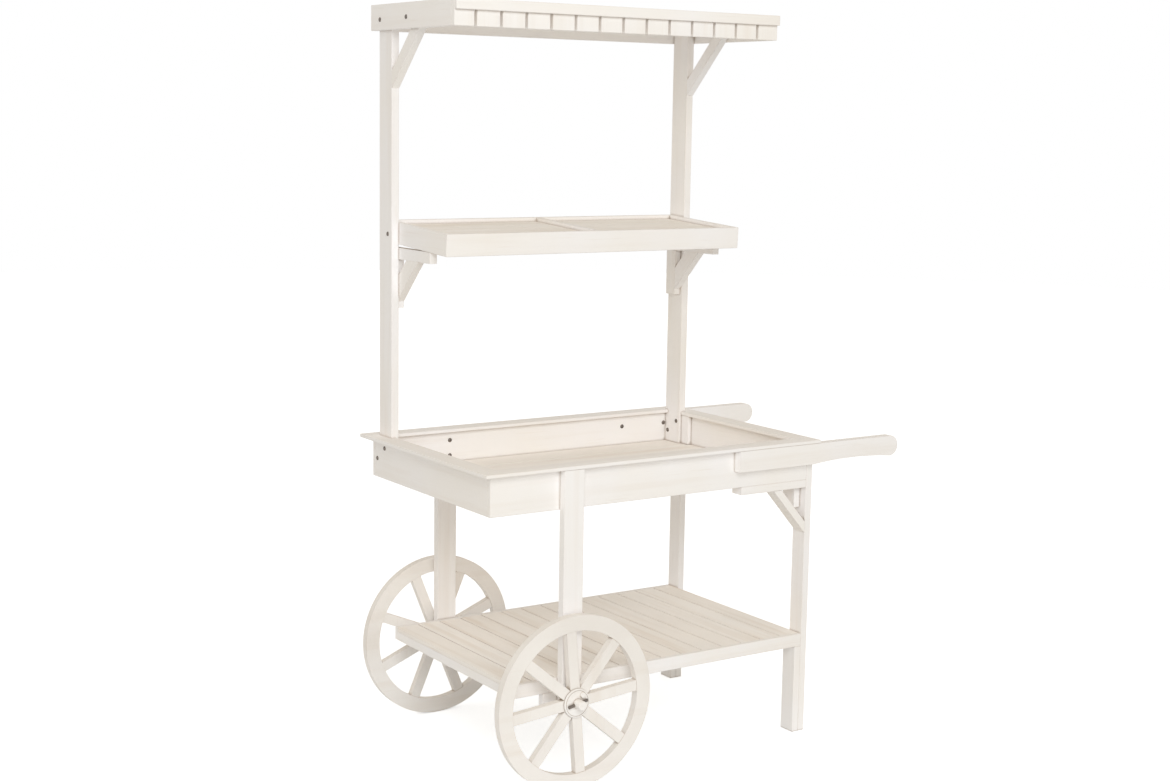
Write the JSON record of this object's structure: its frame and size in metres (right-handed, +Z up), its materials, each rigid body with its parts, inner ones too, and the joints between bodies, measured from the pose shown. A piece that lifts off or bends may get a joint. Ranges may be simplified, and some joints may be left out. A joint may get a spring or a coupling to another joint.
{
  "type": "flower cart stand",
  "caption": "Wooden flower cart stand with a walled tray on spoked wheels and legs, handles, a slatted lower shelf, a tilted display shelf and a small canopy on rear posts.",
  "frame": {"origin": "middle of the bounding box, on the floor", "axes": "+X along the cart towards the handles, +Y from the open front to the posts, +Z up"},
  "size_m": [1.2239, 0.734, 1.8],
  "materials": {
    "paint_brace": "worn antique white paint",
    "paint_cross": "worn antique white paint",
    "paint_leg_strut": "worn antique white paint",
    "paint_long": "worn antique white paint",
    "paint_upright": "worn antique white paint",
    "slats_cross": "worn antique white paint",
    "slats_long": "worn antique white paint",
    "wheel_hub": "worn antique white paint",
    "wheel_ring": "worn antique white paint",
    "wheel_spokes": "worn antique white paint",
    "dark_steel": "dark oxidised"
  },
  "bodies": {
    "stand": {"axle": "paint_cross", "axle_blocks": "paint_long", "canopy_back_board": "paint_long", "canopy_brace_left": "paint_brace", "canopy_brace_right": "paint_brace", "canopy_cleats": "paint_cross", "canopy_dentils": "paint_upright", "canopy_fascia": "paint_long", "canopy_left_board": "paint_cross", "canopy_right_board": "paint_cross", "canopy_roof_slats": "slats_long", "carriage_bolts": "dark_steel", "handle_back": "paint_long", "handle_front": "paint_long", "leg_bracket_arms": "paint_long", "leg_bracket_struts": "paint_leg_strut", "leg_cleats": "paint_upright", "leg_doublers": "paint_upright", "linchpins": "dark_steel", "lower_shelf_back_rail": "paint_long", "lower_shelf_front_rail": "paint_long", "lower_shelf_ledgers": "paint_long", "lower_shelf_left_rail": "paint_cross", "lower_shelf_right_rail": "paint_cross", "lower_shelf_slats": "slats_cross", "post_left": "paint_upright", "post_right": "paint_upright", "right_leg_back": "paint_upright", "right_leg_front": "paint_upright", "rim_back_strip": "paint_long", "rim_front_strip": "paint_long", "rim_left_strip": "paint_cross", "rim_right_strip": "paint_cross", "shelf_back_board": "paint_long", "shelf_bracket_arms": "paint_cross", "shelf_bracket_battens": "paint_upright", "shelf_bracket_struts": "paint_brace", "shelf_divider": "paint_cross", "shelf_floor_slats": "slats_long", "shelf_front_board": "paint_long", "shelf_left_board": "paint_cross", "shelf_right_board": "paint_cross", "tray_back_board": "paint_long", "tray_corner_cleats": "paint_upright", "tray_floor_bearers": "paint_cross", "tray_floor_slats": "slats_long", "tray_front_board": "paint_long", "tray_left_board": "paint_cross", "tray_right_board": "paint_cross", "wheel_back_cap": "wheel_hub", "wheel_front_cap": "wheel_hub", "wheel_leg_back": "paint_upright", "wheel_leg_front": "paint_upright", "wheel_spacers": "wheel_hub"},
    "wheel_front": {"wheel_front_nave": "wheel_hub", "wheel_front_rim": "wheel_ring", "wheel_front_spokes": "wheel_spokes"},
    "wheel_back": {"wheel_back_nave": "wheel_hub", "wheel_back_rim": "wheel_ring", "wheel_back_spokes": "wheel_spokes"}
  },
  "joints": [
    {"name": "wheel_front_spin", "type": "hinge", "parent": "stand", "child": "wheel_front", "pos_m": [-0.3832, -0.3278, 0.2076], "axis": [0, 1, 0], "continuous": true},
    {"name": "wheel_back_spin", "type": "hinge", "parent": "stand", "child": "wheel_back", "pos_m": [-0.3832, 0.3278, 0.2076], "axis": [0, 1, 0], "continuous": true}
  ]
}
